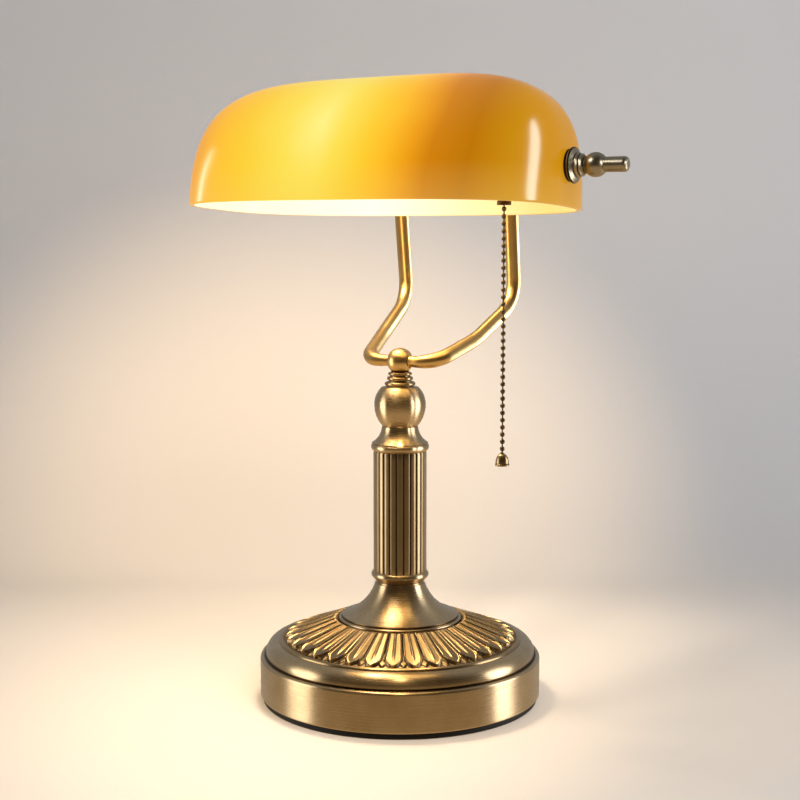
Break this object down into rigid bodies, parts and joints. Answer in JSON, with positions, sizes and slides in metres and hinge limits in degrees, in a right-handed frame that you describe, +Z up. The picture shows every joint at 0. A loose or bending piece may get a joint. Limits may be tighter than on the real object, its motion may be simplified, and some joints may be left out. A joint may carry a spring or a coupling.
{
  "type": "banker desk lamp",
  "caption": "Desk lamp with a round weighted base, reeded stem, two bent arms, a tilting elongated glass shade and a pull-chain switch.",
  "frame": {"origin": "centre of the rubber pad's underside, on the surface the lamp stands on", "axes": "+Z up the stem; +X along the shade towards the clamp knob; -Y to the front, where the shade overhangs"},
  "size_m": [0.3002, 0.1825, 0.393],
  "materials": {
    "antique_brass": "brushed antique brass",
    "dark_brass": "dark antique brass",
    "steel": "zinc plated",
    "cast_iron": "rough cast",
    "black_rubber": "matte",
    "black_plastic": "matte",
    "amber_glass": "glossy amber glass over white opal",
    "frosted_glass": "frosted"
  },
  "bodies": {
    "base": {"base_pad": "black_rubber", "base_weight": "cast_iron", "base_shell": "antique_brass", "petal_ring": "antique_brass", "pedestal_cone": "antique_brass", "lower_collar": "antique_brass", "reeded_column": "antique_brass", "upper_collar": "antique_brass", "knop": "antique_brass", "neck_ring_lower": "antique_brass", "neck_ring_upper": "antique_brass", "ball_seat": "antique_brass", "tie_rod": "steel", "rod_washer": "steel", "rod_nut": "steel", "cord_bushing": "black_rubber", "base_wire": "black_rubber", "pivot_ball": "antique_brass", "friction_screw": "steel"},
    "yoke": {"pivot_nipple": "steel", "left_arm": "antique_brass", "right_arm": "antique_brass", "arm_wire": "black_rubber", "left_grommet": "black_rubber", "right_grommet": "black_rubber", "left_tee": "antique_brass", "right_tee": "antique_brass", "tee_screws": "steel", "crossbar": "steel", "inner_nuts": "steel", "inner_washers": "black_rubber", "outer_washers": "black_rubber", "left_cap_nut": "dark_brass", "clamp_flange": "dark_brass", "shade": "amber_glass", "socket_bracket": "steel", "socket_cap": "antique_brass", "socket_shell": "antique_brass", "socket_liner": "black_plastic", "screw_shell": "antique_brass", "centre_contact": "antique_brass", "switch_housing": "dark_brass", "chain_guide": "dark_brass", "switch_spring": "steel"},
    "knob": {"clamp_knob": "dark_brass"},
    "bulb": {"bulb_glass": "frosted_glass", "bulb_cap": "steel", "bulb_insulator": "black_plastic", "bulb_contact": "steel", "filament_mount": "steel"},
    "plunger": {"switch_plunger": "steel"},
    "chain_upper": {"chain_upper": "dark_brass"},
    "chain_lower": {"chain_lower": "dark_brass", "chain_bell": "dark_brass"}
  },
  "joints": [
    {"name": "lamp_tilt", "type": "hinge", "parent": "base", "child": "yoke", "pos_m": [0, 0, 0.2177], "axis": [1, 0, 0], "range_deg": [-20, 20]},
    {"name": "clamp_knob_turn", "type": "hinge", "parent": "yoke", "child": "knob", "pos_m": [0.145, -0.0241, 0.3369], "axis": [1, 0, 0], "range_deg": [-360, 0]},
    {"name": "bulb_unscrew", "type": "hinge", "parent": "yoke", "child": "bulb", "pos_m": [0.03, -0.02229, 0.36484], "axis": [1, 0, 0], "range_deg": [-720, 0]},
    {"name": "chain_pull", "type": "slide", "parent": "yoke", "child": "plunger", "axis": [0, 0, -1], "range_m": [0, 0.0045], "stiffness_N_per_m": 600, "springref_m": -0.002, "deforming": ["switch_spring"]},
    {"name": "chain_swing", "type": "hinge", "parent": "plunger", "child": "chain_upper", "pos_m": [0.0843, -0.0241, 0.3177], "axis": [1, 0, 0], "range_deg": [-20, 20]},
    {"name": "chain_sway", "type": "hinge", "parent": "chain_upper", "child": "chain_lower", "pos_m": [0.0843, -0.0241, 0.2394], "axis": [0, 1, 0], "range_deg": [-20, 20]}
  ]
}
